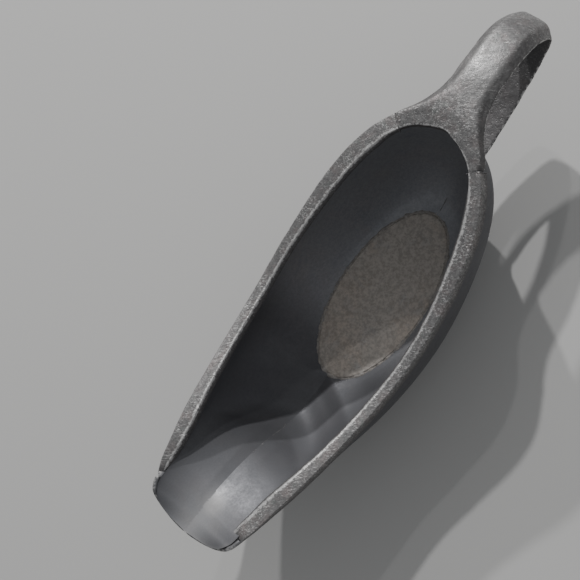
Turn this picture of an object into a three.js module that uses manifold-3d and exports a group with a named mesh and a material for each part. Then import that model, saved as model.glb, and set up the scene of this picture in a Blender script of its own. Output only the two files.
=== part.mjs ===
// A pewter sauce boat: two body walls on a flat oval floor and a low foot ring,
// a flat rim band along each side, a pouring lip and a cast loop handle, all soldered.
// Millimetres. X runs along the boat towards the lip, Y across it, Z up.
// The boat stands on z = 0 and its length is centred on x = 0.
import * as THREE from 'three';
import { mergeVertices } from 'three/addons/utils/BufferGeometryUtils.js';
import Module from 'manifold-3d';

const wasm = await Module();
wasm.setup();

// Overall sizes
const bowlLength = 165;        // back of the opening to the tip of the lip
const handleReach = 50.5;      // back of the opening to the far end of the loop
const openingWidth = 56;       // widest place between the rim bands
const backHeight = 65.5;       // top of the rim where it runs into the handle
const waistHeight = 44.2;      // top of the rim at its lowest place
const lipHeight = 53.6;        // top of the rim at the lip

// Floor and foot
const floorLength = 70;
const floorWidth = 32;
const floorThickness = 2.6;
const floorFromBack = 59.5;    // back of the opening to the middle of the floor
const footHeight = 3.6;
const footOverhang = 3.2;      // foot ring outside the floor's edge
const footWidth = 4.4;

// Walls
const wall = 2.4;
const bellyBulge = 10.5;       // how far the walls swell past the rim
const lipLength = 16.7;        // from where the walls end to the tip
const lipFullness = 3.6;       // higher is squarer in plan
const lipThickness = 2.2;
const lipTipThickness = 1.4;
const lipEdgeDrop = 0.5;       // thickness of metal above the trough at the very tip

// Rim bands
const rimWidth = 3.4;          // at the waist
const rimEndWidth = 5.2;       // at the handle and at the lip
const rimThickness = 4;
const rimTipThickness = 1;     // where a band runs out on the lip
const rimRoll = 1.1;           // how far a band swells into the bowl below its top
const rimFlare = 1;            // how far a band's outer face leans out towards its bottom
const leftCut = 1.5;           // how much narrower the left rim is beside the handle
const jointDistance = 15.5;    // along the opening, from its back to the handle joint
const leftBandShort = 7.5;     // how far short of the tip each band ends
const rightBandShort = 9;
const leftTipShare = 0.9;      // share of its width that each band keeps at its end
const rightTipShare = 0.25;

// Handle strap
const strapWidth = 16.8;
const strapThickness = 4.2;
const strapBevel = 3.5;        // width of the slanted face along each side
const strapEdge = 0.5;         // easing of the edge below it
const strapLean = -1.1;        // how far the loop's far end lies to one side
const neckLength = 24;         // from the rim joints back to the plain strap
const returnHeight = 26;       // underside of the strap where it meets the body
const rootPadWidth = 19;
const rootPadHeight = 9;

// Solder and fit
const gap = 0.3;               // between pieces that touch
const rimSeat = 0.45;          // between a wall's top edge and the rim band on it
const easing = 0.4;            // on the edges of the rim bands and the handle
const solderWidth = 1;
const solderProud = 0.3;       // how far a seam stands out of the inner wall
const seam = solderWidth + 2 * gap;

// Where things are along the boat
const backX = (handleReach - bowlLength) / 2;
const tipX = backX + bowlLength;
const floorCentre = backX + floorFromBack;
const lipStart = tipX - lipLength;
const floorBottom = footHeight + gap;
const floorTipX = floorCentre + floorLength / 2 + seam;

// A smooth curve through [position, value] pairs, as a function of position.
function smooth(points) {
  const slope = points.map((p, i) => {
    const a = points[Math.max(i - 1, 0)];
    const b = points[Math.min(i + 1, points.length - 1)];
    return (b[1] - a[1]) / (b[0] - a[0]);
  });
  return (at) => {
    const last = points.length - 2;
    let i = points.findIndex((p) => p[0] > at) - 1;
    if (i === -2) i = last;
    i = Math.min(Math.max(i, 0), last);
    const span = points[i + 1][0] - points[i][0];
    const t = THREE.MathUtils.clamp((at - points[i][0]) / span, 0, 1);
    const rise = points[i + 1][1] - points[i][1];
    const a = slope[i] * span - rise;
    const b = rise - slope[i + 1] * span;
    return points[i][1] + rise * t + t * (1 - t) * (a * (1 - t) + b * t);
  };
}

// The rim's top edge: high at the handle, low at the waist, rising again to the lip.
// Each row is a place along the bowl and a share of the rise on that side of the waist.
const riseToBack = [[-0.033, 1], [0.07, 0.742], [0.221, 0.413], [0.342, 0.16]];
const waistAt = 0.476;
const riseToLip = [[0.615, 0.234], [0.767, 0.787], [0.888, 0.979], [1, 1]];
const sheerLine = smooth([
  ...riseToBack.map(([u, share]) => [u, waistHeight + (backHeight - waistHeight) * share]),
  [waistAt, waistHeight],
  ...riseToLip.map(([u, share]) => [u, waistHeight + (lipHeight - waistHeight) * share]),
]);

function sheer(x) {
  return sheerLine((x - backX) / bowlLength);
}

// The inner edge of the rim, from the back of the opening round to the tip of the lip,
// as shares of the bowl's length and of half the opening's width.
const openingHalf = [
  [0, 0], [0.008, 0.18], [0.03, 0.42], [0.07, 0.61], [0.13, 0.76], [0.221, 0.889],
  [0.342, 0.986], [0.415, 1], [0.53, 0.964], [0.664, 0.868], [0.755, 0.761],
  [0.839, 0.636], [0.9, 0.557], [0.955, 0.446], [0.988, 0.25], [0.997, 0],
];

function openingPoint([along, across], side) {
  return new THREE.Vector3(backX + along * bowlLength, side * across * openingWidth / 2, 0);
}

const openingCurve = new THREE.CatmullRomCurve3([
  ...openingHalf.map((p) => openingPoint(p, 1)),
  ...openingHalf.slice(1, -1).reverse().map((p) => openingPoint(p, -1)),
], true, 'centripetal');
openingCurve.arcLengthDivisions = 800;
const openingLength = openingCurve.getLength();

// Band width along the boat: wide at both ends, narrow at the waist.
const bandShare = smooth([
  [0, 1], [0.13, 1.1], [0.19, 0.95], [0.28, 0.5], [0.36, 0.1], [0.5, -0.05], [0.68, 0.15],
  [0.742, 0.5], [0.81, 0.95], [0.86, 1.1], [0.92, 1],
]);
const bandTaper = smooth([[0.85, 1], [0.9, 0.72], [0.94, 0]]);
const flareShare = smooth([[0, 1], [0.68, 1], [0.78, 0.6], [0.88, 0]]);
const cutShare = smooth([[0, 1], [0.05, 0.95], [0.14, 0.5], [0.25, 0.15], [0.36, 0]]);

// A place on the rim, so far in mm along the inner edge from the back of the opening.
function rimAt(distance) {
  const at = distance / openingLength;
  const inner = openingCurve.getPointAt(at);
  const tangent = openingCurve.getTangentAt(at);
  const out = new THREE.Vector3(-tangent.y, tangent.x, 0).normalize();
  const u = (inner.x - backX) / bowlLength;
  const width = rimWidth + (rimEndWidth - rimWidth) * bandShare(u);
  const depth = rimTipThickness + (rimThickness - rimTipThickness) * bandTaper(u);
  const wallTop = inner.clone().addScaledVector(out, width / 2 + wall / 2);
  const outer = inner.clone().addScaledVector(out, width);
  return { inner, outer, out, tangent, width, depth, wallTop };
}

// The distance along the rim at which a measured x is reached.
function distanceAt(x, measure) {
  let low = 0;
  let high = openingLength / 2;
  for (let i = 0; i < 40; i += 1) {
    const middle = (low + high) / 2;
    if (measure(rimAt(middle)) < x) low = middle;
    else high = middle;
  }
  return low;
}

// A closed body through rings of equal numbers of points. Each end is capped by
// joining the first half of its ring to the second half.
function loft(rings) {
  const size = rings[0].length;
  const index = [];
  rings.slice(1).forEach((ring, r) => {
    for (let i = 0; i < size; i += 1) {
      const a = r * size + i;
      const b = r * size + (i + 1) % size;
      index.push(a, b, b + size, a, b + size, a + size);
    }
  });
  const end = (rings.length - 1) * size;
  for (let i = 0; i < size / 2 - 1; i += 1) {
    const opposite = size - 1 - i;
    index.push(i, opposite, i + 1, i + 1, opposite, opposite - 1);
    index.push(end + i, end + i + 1, end + opposite);
    index.push(end + i + 1, end + opposite - 1, end + opposite);
  }
  const geometry = new THREE.BufferGeometry().setFromPoints(rings.flat());
  geometry.setIndex(index);
  return facingOut(geometry);
}

// Turns every face round when the body was built inside out.
function facingOut(geometry) {
  const p = geometry.getAttribute('position');
  const index = Array.from(geometry.getIndex().array);
  const corner = (i) => new THREE.Vector3().fromBufferAttribute(p, index[i]);
  let volume = 0;
  for (let i = 0; i < index.length; i += 3) {
    volume += corner(i).dot(corner(i + 1).cross(corner(i + 2)));
  }
  if (volume < 0) {
    for (let i = 0; i < index.length; i += 3) {
      [index[i + 1], index[i + 2]] = [index[i + 2], index[i + 1]];
    }
    geometry.setIndex(index);
  }
  return geometry;
}

// Solids for joining and cutting
function toSolid(geometry) {
  const plain = geometry.clone();
  plain.deleteAttribute('normal');
  plain.deleteAttribute('uv');
  const merged = mergeVertices(plain, 1e-4);
  return new wasm.Manifold(new wasm.Mesh({
    numProp: 3,
    vertProperties: new Float32Array(merged.getAttribute('position').array),
    triVerts: new Uint32Array(merged.getIndex().array),
  }));
}

function toGeometry(solid) {
  const mesh = solid.getMesh();
  const geometry = new THREE.BufferGeometry();
  geometry.setAttribute('position', new THREE.BufferAttribute(mesh.vertProperties, 3));
  geometry.setIndex(new THREE.BufferAttribute(mesh.triVerts, 1));
  return geometry;
}

// The underside of the boat's centre line in front of the floor, rising to the lip.
const keelShare = smooth([
  [0, 0], [0.122, 0.018], [0.26, 0.083], [0.369, 0.254], [0.441, 0.425],
  [0.528, 0.586], [0.63, 0.712], [0.732, 0.8], [0.819, 0.847], [1, 0.9],
]);

function keel(x) {
  const share = (x - floorTipX) / (tipX - floorTipX);
  return floorBottom + (lipHeight - floorBottom) * keelShare(share);
}

function keelUp(x) {
  const step = 0.5;
  return new THREE.Vector3(keel(x - step) - keel(x + step), 0, 2 * step).normalize();
}

// Half a floor oval, by share of the way from its back end to its front end.
function floorEdge(share, grow) {
  const angle = Math.PI * (1 - share);
  const x = floorCentre + (floorLength / 2 + grow) * Math.cos(angle);
  const y = Math.max((floorWidth / 2 + grow) * Math.sin(angle), seam / 2);
  return new THREE.Vector3(x, y, floorBottom);
}

// One section of a wall, from its base on the floor or keel up to the rim.
function sectionCurve(base, rim, bulge, spread, lift) {
  const out = rim.clone().sub(base).setZ(0);
  const reach = out.length();
  out.normalize();
  const height = rim.z - base.z;
  const low = base.clone().addScaledVector(out, reach * spread);
  low.z += height * lift;
  const high = rim.clone().addScaledVector(out, bulge);
  high.z = base.z + height * 0.52;
  return new THREE.CubicBezierCurve3(base, low, high, rim);
}

const wallEnd = distanceAt(lipStart, (rim) => rim.wallTop.x);
const floorShare = 0.72;       // share of the stations that stand on the floor
const bulgeShare = smooth([[0, 0.6], [0.2, 0.72], [0.42, 1], [0.62, 0.7], [0.8, 0.25], [1, 0.1]]);
const spreadShare = smooth([[0, 0.62], [0.72, 0.5], [1, 0.42]]);
const liftShare = smooth([[0, 0.02], [0.6, 0.03], [0.8, 0.1], [1, 0.16]]);
const footPace = smooth([[0, 0], [0.3, 0.28], [0.72, 0.74], [1, 1]]);

// The wall section at a share of the way from the stern seam to the lip.
function wallSection(share) {
  const rim = rimAt(wallEnd * footPace(share));
  const top = rim.wallTop.clone();
  top.y = Math.max(top.y, seam / 2);
  top.z = sheer(rim.inner.x) - rim.depth - rimSeat;
  let base = floorEdge(Math.min(share / floorShare, 1), seam);
  if (share > floorShare) {
    const forward = (share - floorShare) / (1 - floorShare);
    const x = floorTipX + (lipStart - floorTipX) * forward;
    base = new THREE.Vector3(x, seam / 2, keel(x));
  }
  return sectionCurve(base, top, bellyBulge * bulgeShare(share), spreadShare(share), liftShare(share));
}

// The way into the wall's thickness at a place on its outer face.
function inwardAt(share, height) {
  const step = 0.01;
  const s = [Math.max(share - step, 0), Math.min(share + step, 1)];
  const t = [Math.max(height - step, 0), Math.min(height + step, 1)];
  const along = wallSection(s[1]).getPoint(height).sub(wallSection(s[0]).getPoint(height));
  const upward = wallSection(share).getPoint(t[1]).sub(wallSection(share).getPoint(t[0]));
  let inward = along.cross(upward).normalize();
  if (height === 0) {
    inward = new THREE.Vector3(0, 0, 1);
    if (share > floorShare) inward = keelUp(wallSection(share).getPoint(0).x);
  }
  if (height === 1) inward.z = 0;
  if (share === 0) inward.y = 0;
  if (share === 1) inward.x = 0;
  return inward.normalize();
}

const wallStations = 34;
const wallHeights = 10;

// Points on the wall's outer face, moved inwards by a depth (negative is outwards).
function wallColumn(share, depth) {
  const section = wallSection(share);
  return Array.from({ length: wallHeights + 1 }, (_, j) => {
    const height = j / wallHeights;
    const point = section.getPoint(height).addScaledVector(inwardAt(share, height), depth);
    point.y = Math.max(point.y, seam / 2);
    return point;
  });
}

const stationShares = Array.from({ length: wallStations + 1 }, (_, i) => i / wallStations);
const outerColumns = stationShares.map((share) => wallColumn(share, 0));
const innerColumns = stationShares.map((share) => wallColumn(share, wall));

function mirrored(point, side) {
  return new THREE.Vector3(point.x, point.y * side, point.z);
}

function wallGeometry(side) {
  return loft(outerColumns.map((column, i) => [
    ...column.map((p) => mirrored(p, side)),
    ...innerColumns[i].slice().reverse().map((p) => mirrored(p, side)),
  ]));
}

// The whole hull as one solid that much bigger all round, for cutting what meets it.
function hullSolid(grow) {
  const columns = stationShares.map((share) => wallColumn(share, -grow));
  const rings = Array.from({ length: wallHeights + 1 }, (_, j) => [
    ...columns.map((column) => mirrored(column[j], 1)),
    ...columns.map((column) => mirrored(column[j], -1)).reverse(),
  ]);
  return toSolid(loft(rings));
}

// Flat ovals and rings with the floor's shape
function ovalShape(grow) {
  const shape = new THREE.Shape();
  shape.absellipse(floorCentre, 0, floorLength / 2 + grow, floorWidth / 2 + grow, 0, 2 * Math.PI);
  return shape;
}

function ovalPlate(shape, bottom, thickness) {
  const geometry = new THREE.ExtrudeGeometry(shape, {
    depth: thickness, bevelEnabled: false, curveSegments: 40,
  });
  return geometry.translate(0, 0, bottom);
}

function ovalRing(outer, inner, bottom, thickness) {
  const shape = ovalShape(outer);
  shape.holes.push(ovalShape(inner));
  return ovalPlate(shape, bottom, thickness);
}

// A strip that stands on the centre line between the two walls.
function centreStrip(outerLine, innerLine) {
  const shape = new THREE.Shape(
    [...outerLine, ...innerLine.slice().reverse()].map((p) => new THREE.Vector2(p.x, p.z)));
  const geometry = new THREE.ExtrudeGeometry(shape, { depth: solderWidth, bevelEnabled: false });
  return geometry.rotateX(Math.PI / 2).translate(0, solderWidth / 2, 0);
}

function sternSolder() {
  const depth = wall + solderProud;
  return centreStrip(wallColumn(0, 0), wallColumn(0, depth));
}

function keelSolder() {
  const first = floorTipX + gap;
  const last = lipStart - gap;
  const steps = 24;
  const outer = [];
  const inner = [];
  for (let i = 0; i <= steps; i += 1) {
    const x = first + (last - first) * i / steps;
    const point = new THREE.Vector3(x, 0, keel(x));
    outer.push(point);
    const raised = point.clone().addScaledVector(keelUp(x), wall + solderProud);
    if (raised.x > first && raised.x < last) inner.push(raised);
  }
  return centreStrip(outer, inner);
}

// Rim bands: a flat strip with eased edges, swept along the opening.
const bandStart = jointDistance + seam;
const bandSteps = 56;

function bandRing(distance, share, side) {
  const rim = rimAt(distance);
  const top = sheer(rim.inner.x);
  const inward = rim.out.clone().negate();
  const width = rim.width * share;
  const at = (across, down) => {
    const point = rim.outer.clone().addScaledVector(inward, across);
    return new THREE.Vector3(point.x, point.y * side, top - down);
  };
  const ease = Math.min(easing, rim.depth / 3, width / 3);
  const roll = rimRoll * rim.depth / rimThickness;
  const u = (rim.inner.x - backX) / bowlLength;
  const flare = rimFlare * flareShare(u);
  const cut = side > 0 ? leftCut * cutShare(u) : 0;
  return [
    at(cut / 2 - flare, rim.depth), at(cut, ease), at(cut + ease, 0), at(width - ease, 0), at(width, ease),
    at(width + roll * 0.85, rim.depth * 0.4), at(width + roll, rim.depth * 0.7),
    at(width + roll * 0.4, rim.depth),
  ];
}

// Places along a band that ends so far short of the tip, as shares of its length.
function bandStations(short) {
  const end = distanceAt(tipX - short, (rim) => rim.outer.x);
  return Array.from({ length: bandSteps + 1 }, (_, i) => {
    const along = i / bandSteps;
    return { along, distance: bandStart + (end - bandStart) * along };
  });
}

function bandGeometry(side, short, tipShare) {
  const narrowing = smooth([[0, 1], [0.8, 1], [0.93, (1 + tipShare) / 2], [1, tipShare]]);
  return loft(bandStations(short).map(
    ({ along, distance }) => bandRing(distance, narrowing(along), side)));
}

// The space that a band takes with its clearance, for trimming what stands under it.
function bandSpace(side, short) {
  const beside = rimWidth;
  return toSolid(loft(bandStations(short).map(({ distance }) => {
    const rim = rimAt(distance);
    const top = sheer(rim.inner.x);
    const at = (across, down) => {
      const point = rim.outer.clone().addScaledVector(rim.out, -across);
      return new THREE.Vector3(point.x, point.y * side, top - down);
    };
    return [
      at(-beside, rim.depth + gap), at(-beside, 0),
      at(rim.width + beside, 0), at(rim.width + beside, rim.depth + gap),
    ];
  })));
}

function underBands(geometry) {
  return toGeometry(toSolid(geometry)
    .subtract(bandSpace(1, leftBandShort))
    .subtract(bandSpace(-1, rightBandShort)));
}

function jointSolder(side) {
  const start = jointDistance + gap;
  return loft([0, 0.5, 1].map((along) => bandRing(start + solderWidth * along, 1, side)));
}

// The pouring lip: a shallow trough that ends in a rounded edge.
const lipBack = lipStart + seam;

// The lip's section at x from its centre to its edge: the underside, or with an inset
// of the metal's thickness the trough.
function lipSection(x, inset) {
  const along = (x - lipStart) / (tipX - lipStart);
  const fullWidth = rimAt(wallEnd).wallTop.y;
  const half = fullWidth * Math.sqrt(1 - Math.min(along, 1) ** lipFullness);
  const over = rimAt(distanceAt(x, (rim) => rim.wallTop.x));
  const edge = sheer(over.inner.x) - over.depth - rimSeat;
  const tipEdge = keel(x) + lipEdgeDrop;
  const fall = THREE.MathUtils.smoothstep(along, 0.62, 1);
  const base = new THREE.Vector3(x, 0, keel(x) + inset);
  const width = Math.max(half, 2 * lipThickness) - inset;
  const rim = new THREE.Vector3(x, width, edge + (tipEdge - edge) * fall);
  return sectionCurve(base, rim, bellyBulge * 0.1, 0.42, 0.16);
}

const lipHalfSteps = 8;

// The lip's section from side to side, its underside first and then its trough.
function lipRing(x, thickness) {
  const sweep = (inset) => {
    const section = lipSection(x, inset);
    return Array.from({ length: 2 * lipHalfSteps + 1 }, (_, j) => {
      const across = j / lipHalfSteps - 1;
      return mirrored(section.getPoint(Math.abs(across)), Math.sign(across));
    });
  };
  return [...sweep(0), ...sweep(thickness).reverse()];
}

function lipGeometry() {
  const steps = 20;
  return loft(Array.from({ length: steps + 1 }, (_, i) => {
    const along = Math.sin(Math.PI / 2 * i / steps);
    const thickness = lipThickness + (lipTipThickness - lipThickness) * along;
    return lipRing(lipBack + (tipX - lipBack) * along, thickness);
  }));
}

function lipSolder() {
  const start = lipStart + gap;
  return loft([0, 1].map((along) => lipRing(start + solderWidth * along, lipThickness)));
}

// The handle: the strap's outer face from the yoke, round the loop and back to the body,
// as shares of the handle's reach and of the height between its two ends.
const strapLine = [
  [0.113, 1], [0.268, 1.008], [0.443, 1], [0.65, 0.935], [0.8, 0.83], [0.897, 0.69],
  [0.969, 0.53], [1, 0.4], [0.979, 0.29], [0.907, 0.2], [0.753, 0.13], [0.567, 0.07],
  [0.361, 0.02], [0.128, 0], [-0.1, 0],
];

function strapCurve() {
  const points = strapLine.map(([back, up]) => new THREE.Vector3(
    backX - handleReach * back, 0, returnHeight + (backHeight - returnHeight) * up));
  const rootXs = [backX + 12, backX + 8, backX + 4, backX];
  const root = rootXs.map((x) => new THREE.Vector3(x, 0, sheer(x)));
  return new THREE.CatmullRomCurve3([...root, ...points], false, 'centripetal');
}

const neckShare = smooth([[0, 1], [0.1, 0.84], [0.25, 0.55], [0.42, 0.3], [0.6, 0.13], [0.8, 0.03], [1, 0]]);

function strapRing(curve, along) {
  const joint = rimAt(jointDistance).outer;
  const outer = curve.getPointAt(along);
  const tangent = curve.getTangentAt(along);
  const behind = Math.max((joint.x - outer.x) / neckLength, 0);
  const onRoot = along < 0.4;
  const neck = onRoot ? neckShare(Math.min(behind, 1)) : 0;
  const half = strapWidth / 2 + (joint.y + rimFlare - strapWidth / 2) * neck;
  const lean = strapLean * THREE.MathUtils.clamp((backX - outer.x) / handleReach, 0, 1);
  const across = new THREE.Vector3(0, 1, 0);
  const inward = tangent.clone().cross(across);
  const straightDown = onRoot ? THREE.MathUtils.smoothstep(1 - behind, 0, 0.6) : 0;
  inward.lerp(new THREE.Vector3(0, 0, -1), straightDown).normalize();
  const thickness = rimThickness + (strapThickness - rimThickness) * (1 - neck);
  const bevel = rimFlare + (strapBevel - rimFlare) * (1 - neck);
  const at = (y, depth) => outer.clone().addScaledVector(inward, depth).setY(y + lean);
  const side = (sign) => {
    const cut = sign > 0 ? leftCut * neck ** 3 : 0;
    const low = half - cut / 2;
    const high = half - bevel - cut;
    return [
      at(sign * (low - strapEdge), thickness), at(sign * low, thickness - strapEdge),
      at(sign * high, easing), at(sign * (high - easing), 0),
    ];
  };
  return [...side(-1), ...side(1).reverse()];
}

function strapGeometry() {
  const curve = strapCurve();
  curve.arcLengthDivisions = 600;
  const steps = 64;
  return loft(Array.from({ length: steps + 1 }, (_, i) => strapRing(curve, i / steps)));
}

function openingPrism() {
  const outline = Array.from({ length: 120 }, (_, i) => openingCurve.getPointAt(i / 120));
  const shape = new THREE.Shape(outline.map((p) => new THREE.Vector2(p.x, p.y)));
  const geometry = new THREE.ExtrudeGeometry(shape, { depth: backHeight, bevelEnabled: false });
  return toSolid(geometry.translate(0, 0, waistHeight / 2));
}

// Everything in front of one rim joint.
function inFrontOfJoint(side) {
  const joint = rimAt(jointDistance);
  const size = openingWidth;
  const box = new THREE.BoxGeometry(size, size, backHeight * 2);
  box.translate(size / 2, 0, backHeight);
  box.rotateZ(Math.atan2(joint.tangent.y * side, joint.tangent.x));
  return toSolid(box.translate(joint.inner.x, joint.inner.y * side, 0));
}

function handleGeometry() {
  return toGeometry(toSolid(strapGeometry())
    .subtract(openingPrism())
    .subtract(inFrontOfJoint(1))
    .subtract(inFrontOfJoint(-1))
    .subtract(hullSolid(seam)));
}

function rootSolder() {
  const block = new THREE.BoxGeometry(handleReach, rootPadWidth, rootPadHeight);
  block.translate(backX, 0, returnHeight + strapThickness / 2);
  return toGeometry(toSolid(block)
    .intersect(hullSolid(gap + solderWidth))
    .subtract(hullSolid(gap)));
}

// Finishes
function finish(color, roughness, metalness) {
  return new THREE.MeshStandardMaterial({ color, roughness, metalness });
}

const darkPewter = finish(0x55575a, 0.55, 0.85);
const wornPewter = finish(0x7d7c79, 0.5, 0.9);
const grainyPewter = finish(0x6b6760, 0.7, 0.8);
const solder = finish(0x9a9994, 0.45, 0.9);

const group = new THREE.Group();

function add(name, geometry, material) {
  const mesh = new THREE.Mesh(geometry, material);
  mesh.name = name;
  group.add(mesh);
}

add('foot_ring', ovalRing(footOverhang, footOverhang - footWidth, 0, footHeight), darkPewter);
add('floor_plate', ovalPlate(ovalShape(0), floorBottom, floorThickness), grainyPewter);
add('body_wall_left', underBands(wallGeometry(1)), darkPewter);
add('body_wall_right', underBands(wallGeometry(-1)), darkPewter);
add('spout_lip', underBands(lipGeometry()), darkPewter);
add('rim_band_left', bandGeometry(1, leftBandShort, leftTipShare), wornPewter);
add('rim_band_right', bandGeometry(-1, rightBandShort, rightTipShare), wornPewter);
add('loop_handle', handleGeometry(), wornPewter);
add('floor_seam_solder',
  ovalRing(seam - gap, gap, floorBottom, floorThickness + solderProud), solder);
add('keel_seam_solder', keelSolder(), solder);
add('stern_seam_solder', sternSolder(), solder);
add('lip_seam_solder', underBands(lipSolder()), solder);
add('rim_joint_solder_left', jointSolder(1), solder);
add('rim_joint_solder_right', jointSolder(-1), solder);
add('handle_root_solder', rootSolder(), solder);

export default group;
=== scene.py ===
import math

import bmesh
import bpy
import numpy as np
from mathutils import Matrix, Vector, noise
from mathutils.bvhtree import BVHTree
from mathutils.kdtree import KDTree


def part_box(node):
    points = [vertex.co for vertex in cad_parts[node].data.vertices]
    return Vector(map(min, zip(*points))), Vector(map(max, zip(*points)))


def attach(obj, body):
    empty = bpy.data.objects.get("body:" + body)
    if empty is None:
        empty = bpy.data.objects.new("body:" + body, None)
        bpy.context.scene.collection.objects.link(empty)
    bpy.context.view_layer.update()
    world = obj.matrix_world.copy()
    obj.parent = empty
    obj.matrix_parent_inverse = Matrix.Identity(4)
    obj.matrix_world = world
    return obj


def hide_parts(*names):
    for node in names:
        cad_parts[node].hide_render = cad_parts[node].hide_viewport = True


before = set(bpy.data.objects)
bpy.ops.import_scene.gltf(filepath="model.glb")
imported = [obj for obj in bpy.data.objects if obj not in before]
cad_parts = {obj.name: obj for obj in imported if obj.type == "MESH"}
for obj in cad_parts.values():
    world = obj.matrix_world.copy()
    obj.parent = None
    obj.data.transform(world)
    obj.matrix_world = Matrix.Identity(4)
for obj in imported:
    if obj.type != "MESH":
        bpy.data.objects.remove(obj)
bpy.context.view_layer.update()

mm = 0.001
scene = bpy.context.scene


# a part's lowest and highest corner, in millimetres
def cadBox(node):
    return [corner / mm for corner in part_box(node)]


floorLow, floorHigh = cadBox("floor_plate")
lipLow, lipHigh = cadBox("spout_lip")
handleLow = cadBox("loop_handle")[0]
footTop = cadBox("foot_ring")[1].z

boat = {
    "length": 165.0,        # back of the opening to the tip of the lip
    "openingWidth": 56.0,
    "backHeight": 65.5,
    "waistHeight": 44.2,
    "lipHeight": 53.6,
    "wall": 2.4,
    "joint": 1.6,           # solder and clearance between two pieces of the body
}
tipX = lipHigh.x
backX = tipX - boat["length"]
reach = backX - handleLow.x
lipStart = lipLow.x - boat["joint"]
floorMiddle = (floorLow.x + floorHigh.x) / 2
floorHalf = (floorHigh.x - floorLow.x) / 2, (floorHigh.y - floorLow.y) / 2
floorTipX = floorHigh.x + boat["joint"]
floorBottom = floorLow.z
floorTop = floorHigh.z


# lines and curves

# smooth line through (place, value) pairs
def smoothLine(points):
    px, py = np.array(points, float).T
    slope = np.gradient(py, px)
    slope[1:-1] = (py[2:] - py[:-2]) / (px[2:] - px[:-2])

    def value(at):
        at = np.asarray(at, float)
        i = np.clip(np.searchsorted(px, at, side="right") - 1, 0, len(px) - 2)
        span = px[i + 1] - px[i]
        t = np.clip((at - px[i]) / span, 0, 1)
        rise = py[i + 1] - py[i]
        a = slope[i] * span - rise
        b = rise - slope[i + 1] * span
        return py[i] + rise * t + t * (1 - t) * (a * (1 - t) + b * t)

    return value


# places at even distances on a round curve through the points
def curveThrough(points, closed=False, perSpan=40):
    pts = np.array(points, float)
    count = len(pts)
    if not closed:
        pts = np.vstack([2 * pts[0] - pts[1], pts, 2 * pts[-1] - pts[-2]])
    spans = range(count) if closed else range(1, count)
    run = []
    for k in spans:
        p0, p1, p2, p3 = (pts[(k + j) % len(pts)] for j in (-1, 0, 1, 2))
        d0, d1, d2 = (max(np.linalg.norm(b - a), 1e-6) ** 0.5
                      for a, b in ((p0, p1), (p1, p2), (p2, p3)))
        m1 = ((p1 - p0) / d0 - (p2 - p0) / (d0 + d1) + (p2 - p1) / d1) * d1
        m2 = ((p2 - p1) / d1 - (p3 - p1) / (d1 + d2) + (p3 - p2) / d2) * d1
        t = np.linspace(0, 1, perSpan, endpoint=False)[:, None]
        run.append(p1 + m1 * t + (3 * (p2 - p1) - 2 * m1 - m2) * t ** 2
                   + (2 * (p1 - p2) + m1 + m2) * t ** 3)
    run = np.vstack(run + [pts[0:1] if closed else pts[-2:-1]])
    steps = np.linalg.norm(np.diff(run, axis=0), axis=1)
    gone = np.concatenate([[0], np.cumsum(steps)])

    def at(distance):
        distance = np.asarray(distance, float)
        if closed:
            distance = distance % gone[-1]
        return np.stack([np.interp(distance, gone, run[:, c]) for c in range(run.shape[1])], -1)

    return at, gone[-1]


def unit(v):
    return v / np.maximum(np.linalg.norm(v, axis=-1, keepdims=True), 1e-9)


def mixed(a, b, share):
    return a + (b - a) * share


def eased(x, low, high):
    t = np.clip((x - low) / (high - low), 0, 1)
    return t * t * (3 - 2 * t)


# the rim line that every piece hangs from

rim = {
    "width": 3.4,
    "endWidth": 5.2,
    "thickness": 4.0,
    "tipThickness": 1.0,
    "roll": 1.1,            # swell into the bowl below the top
    "flare": 1.0,           # lean of the outer face
    "leftCut": 1.5,         # narrower on the left beside the handle
    "joint": 15.5,          # back of the opening to the handle joint
    "tuck": 0.7,            # how far wall tops stand up inside the bands
}
lift, drop = boat["backHeight"] - boat["waistHeight"], boat["lipHeight"] - boat["waistHeight"]
toHandle = [(-0.033, 1), (0.07, 0.742), (0.221, 0.413), (0.342, 0.16)]
toLip = [(0.615, 0.234), (0.767, 0.787), (0.888, 0.979), (1, 1)]
sheerLine = smoothLine(
    [(u, boat["waistHeight"] + lift * share) for u, share in toHandle] + [(0.476, boat["waistHeight"])]
    + [(u, boat["waistHeight"] + drop * share) for u, share in toLip])
openingHalf = [
    (0, 0), (0.008, 0.18), (0.03, 0.42), (0.07, 0.61), (0.13, 0.76), (0.221, 0.889),
    (0.342, 0.986), (0.415, 1), (0.53, 0.964), (0.664, 0.868), (0.755, 0.761),
    (0.839, 0.636), (0.9, 0.557), (0.955, 0.446), (0.988, 0.25), (0.997, 0),
]
openingPoints = [(backX + u * boat["length"], w * boat["openingWidth"] / 2) for u, w in openingHalf]
opening, openingLength = curveThrough(
    openingPoints + [(x, -y) for x, y in openingPoints[-2:0:-1]], closed=True)
bandShare = smoothLine([
    (0, 1), (0.13, 1.1), (0.19, 0.95), (0.28, 0.5), (0.36, 0.1), (0.5, -0.05), (0.68, 0.15),
    (0.742, 0.5), (0.81, 0.95), (0.86, 1.1), (0.92, 1)])
bandTaper = smoothLine([(0.85, 1), (0.9, 0.72), (0.94, 0)])
flareShare = smoothLine([(0, 1), (0.68, 1), (0.78, 0.6), (0.88, 0)])
cutShare = smoothLine([(0, 1), (0.05, 0.95), (0.14, 0.5), (0.25, 0.15), (0.36, 0)])


def along(x):
    return (x - backX) / boat["length"]


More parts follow.
